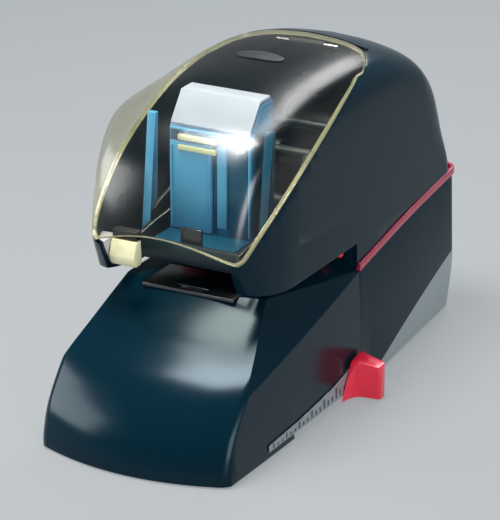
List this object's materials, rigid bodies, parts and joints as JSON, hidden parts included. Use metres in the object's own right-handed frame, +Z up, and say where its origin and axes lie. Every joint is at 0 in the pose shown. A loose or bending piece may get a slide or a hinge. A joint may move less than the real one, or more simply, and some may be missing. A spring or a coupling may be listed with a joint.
{
  "type": "electric stapler",
  "caption": "Desktop electric stapler: sloping base with a paper throat, hooded head with a smoked clear cover over a blue staple cassette, and a red side slide for stapling depth.",
  "frame": {"origin": "centre of the bottom of the bounding box, on the surface the machine stands on", "axes": "+Z up, the nose and the front slope point to -Y, the mains inlet faces +Y, the depth lever is on +X"},
  "size_m": [0.1414, 0.3084, 0.1971],
  "materials": {
    "black": "moulded, glossy black",
    "darkBlack": "matt black",
    "smoke": "clear smoke tint, polished",
    "red": "glossy red",
    "blue": "translucent-looking mid blue",
    "paleBlue": "light blue",
    "ivory": "ivory",
    "paleGrey": "light grey",
    "white": "white label stock",
    "steel": "zinc-plated steel",
    "darkSteel": "dark coated steel",
    "brass": "turned brass",
    "gearPlastic": "natural acetal",
    "copper": "varnished copper wire",
    "board": "green circuit board",
    "rubber": "black rubber",
    "scale": "satin silver foil"
  },
  "bodies": {
    "machine": {"base_housing": "black", "accent_band": "red", "rear_shell": "black", "bottom_plate": "darkSteel", "foot_front_right": "rubber", "foot_front_left": "rubber", "foot_rear_right": "rubber", "foot_rear_left": "rubber", "frame_cross_front": "steel", "frame_cross_rear": "steel", "nose_guard_right": "paleGrey", "nose_guard_left": "paleGrey", "frame_plate_right": "darkSteel", "frame_plate_left": "darkSteel", "frame_spacer_front": "steel", "frame_spacer_rear": "steel", "frame_spacer_top": "steel", "arm_pivot_shaft": "steel", "idler_axle": "steel", "motor_can": "steel", "motor_flange": "darkSteel", "cassette_body": "blue", "cassette_label": "white", "cassette_panel": "paleBlue", "cassette_nose": "blue", "cassette_rail_right": "paleBlue", "cassette_rail_left": "paleBlue", "latch_pin": "steel", "clinch_plate": "steel", "clincher_block": "darkSteel", "trigger_bracket": "darkBlack", "depth_guide_rod": "steel", "depth_scale": "scale", "switch_bezel": "darkBlack", "power_inlet": "darkBlack", "transformer_core": "darkSteel", "transformer_winding": "copper", "circuit_board": "board", "capacitor": "blue", "cover_hinge_bracket": "darkBlack", "cover_hinge_pin": "steel"},
    "front_cover": {"front_cover": "smoke", "cover_finger_pad": "darkBlack"},
    "depth_slide": {"depth_lever": "red", "depth_carriage": "red", "paper_stop": "red"},
    "switch_rocker": {"switch_rocker": "black"},
    "crank": {"crank_gear": "gearPlastic", "cam_shaft": "steel"},
    "idler": {"idler_gear": "gearPlastic"},
    "motor_rotor": {"motor_pinion": "brass"},
    "drive_arms": {"drive_arm_left": "steel", "drive_arm_right": "steel", "drive_yoke": "darkSteel", "cam_follower": "steel"},
    "driver": {"driver_blade": "steel"},
    "clincher_right": {"clincher_wing_right": "steel"},
    "clincher_left": {"clincher_wing_left": "steel"},
    "trigger": {"trigger_flap": "ivory"},
    "cassette_latch": {"cassette_latch": "red"}
  },
  "joints": [
    {"name": "cover_hinge", "type": "hinge", "parent": "machine", "child": "front_cover", "pos_m": [-0.00912, 0.0634, 0.1882], "axis": [-1, 0, 0], "range_deg": [0, 55]},
    {"name": "depth_slide", "type": "slide", "parent": "machine", "child": "depth_slide", "axis": [0, 1, 0], "range_m": [-0.065, 0.0025]},
    {"name": "switch_rocker", "type": "hinge", "parent": "machine", "child": "switch_rocker", "pos_m": [0.01488, 0.15, 0.031], "axis": [1, 0, 0], "range_deg": [0, 14]},
    {"name": "crank_turn", "type": "hinge", "parent": "machine", "child": "crank", "pos_m": [-0.00912, 0.06042, 0.118], "axis": [1, 0, 0], "continuous": true},
    {"name": "idler_turn", "type": "hinge", "parent": "machine", "child": "idler", "pos_m": [0.03488, 0.08841, 0.1288], "axis": [1, 0, 0], "continuous": true},
    {"name": "motor_turn", "type": "hinge", "parent": "machine", "child": "motor_rotor", "pos_m": [-0.00912, 0.1164, 0.118], "axis": [1, 0, 0], "continuous": true},
    {"name": "drive_arm_rock", "type": "hinge", "parent": "machine", "child": "drive_arms", "pos_m": [-0.00912, 0.0124, 0.108], "axis": [1, 0, 0], "range_deg": [0, 6.6], "stiffness_Nm_per_rad": 0.6, "springref_deg": -17.19},
    {"name": "driver_stroke", "type": "slide", "parent": "machine", "child": "driver", "axis": [0, 0, -1], "range_m": [0, 0.0115]},
    {"name": "clincher_wing_right", "type": "hinge", "parent": "machine", "child": "clincher_right", "pos_m": [-0.00272, -0.0746, 0.0789], "axis": [0, 1, 0], "range_deg": [0, 20], "stiffness_Nm_per_rad": 0.004, "springref_deg": -20.05},
    {"name": "clincher_wing_left", "type": "hinge", "parent": "machine", "child": "clincher_left", "pos_m": [-0.01552, -0.0746, 0.0789], "axis": [0, -1, 0], "range_deg": [0, 20], "stiffness_Nm_per_rad": 0.004, "springref_deg": -20.05},
    {"name": "trigger_flap", "type": "hinge", "parent": "machine", "child": "trigger", "pos_m": [-0.03812, -0.0916, 0.1105], "axis": [1, 0, 0], "range_deg": [0, 10], "stiffness_Nm_per_rad": 0.003, "springref_deg": -17.19},
    {"name": "cassette_latch", "type": "hinge", "parent": "machine", "child": "cassette_latch", "pos_m": [-0.00912, -0.0236, 0.15], "axis": [-1, 0, 0], "range_deg": [0, 12], "stiffness_Nm_per_rad": 0.01, "springref_deg": -11.46}
  ],
  "couplings": [
    {"joint": "idler_turn", "follows": "crank_turn", "ratio": -3},
    {"joint": "motor_turn", "follows": "crank_turn", "ratio": 9},
    {"joint": "driver_stroke", "follows": "drive_arm_rock", "m_per_rad": 0.09},
    {"joint": "clincher_wing_left", "follows": "clincher_wing_right", "ratio": 1}
  ]
}
